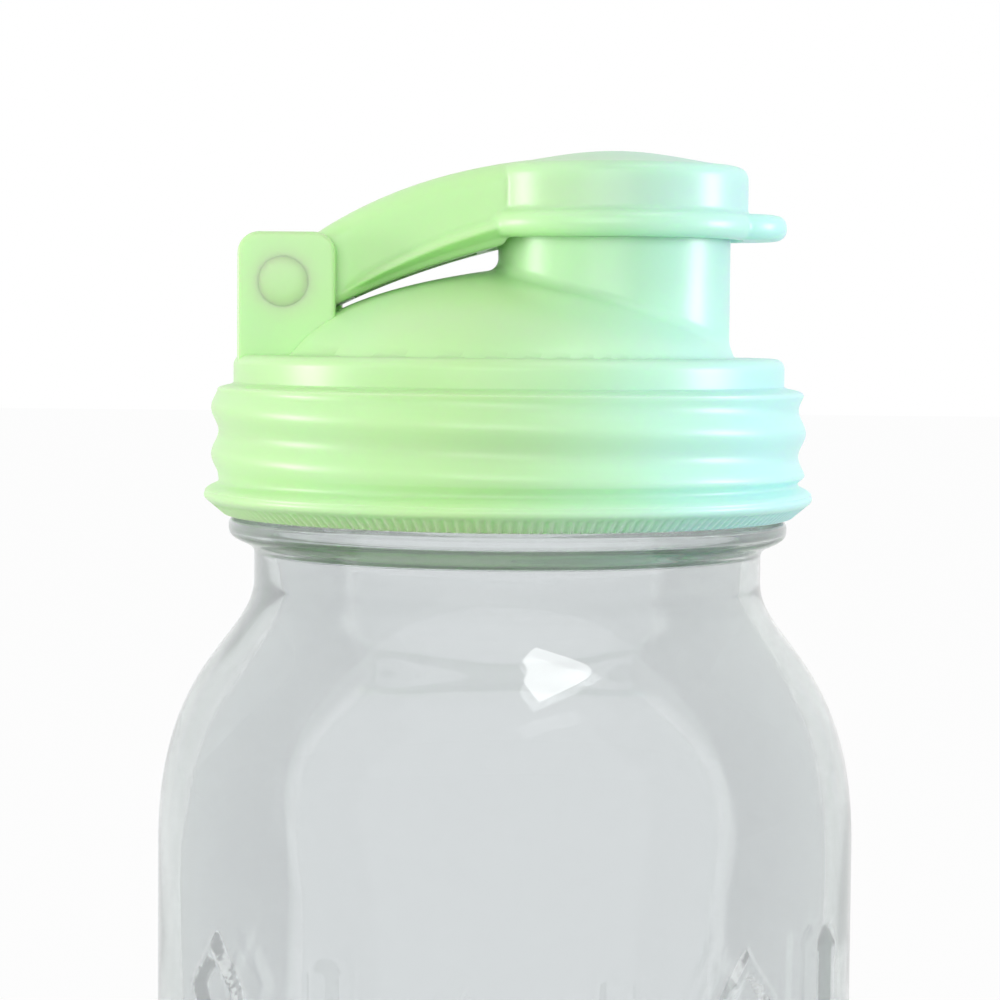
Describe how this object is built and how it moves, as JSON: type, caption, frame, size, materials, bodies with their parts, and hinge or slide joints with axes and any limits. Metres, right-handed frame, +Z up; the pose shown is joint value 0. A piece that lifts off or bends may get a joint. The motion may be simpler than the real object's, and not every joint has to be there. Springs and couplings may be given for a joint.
{
  "type": "flip-top pour jar",
  "caption": "Clear glass jar with a rounded shoulder and a screw-on mint-green pour lid, whose spout is closed by a hinged flip cap with a curved arm and a thumb tab.",
  "frame": {"origin": "centre of the jar's base, on the surface it stands on", "axes": "+Z up along the jar's axis, +X from the axis towards the spout, -X towards the hinge"},
  "size_m": [0.089, 0.089, 0.2012],
  "materials": {
    "clear_glass": "moulded, polished",
    "mint_plastic": "moulded, satin gloss",
    "white_silicone": "moulded, matte"
  },
  "bodies": {
    "jar": {"glass_jar": "clear_glass"},
    "liner": {"rim_liner": "white_silicone"},
    "lid": {"lid_body": "mint_plastic", "hinge_pin": "mint_plastic"},
    "cap": {"flip_cap": "mint_plastic", "spout_seal": "white_silicone"}
  },
  "joints": [
    {"name": "lid_lift", "type": "slide", "parent": "jar", "child": "liner", "axis": [0, 0, 1], "range_m": [0, 0.0255]},
    {"name": "lid_turn", "type": "hinge", "parent": "liner", "child": "lid", "pos_m": [0, 0, 0.172], "axis": [0, 0, 1], "range_deg": [0, 1440]},
    {"name": "cap_hinge", "type": "hinge", "parent": "lid", "child": "cap", "pos_m": [-0.0283, 0, 0.1842], "axis": [0, -1, 0], "range_deg": [0, 135]}
  ],
  "couplings": [
    {"joint": "lid_lift", "follows": "lid_turn", "m_per_rad": 0.0010106}
  ]
}
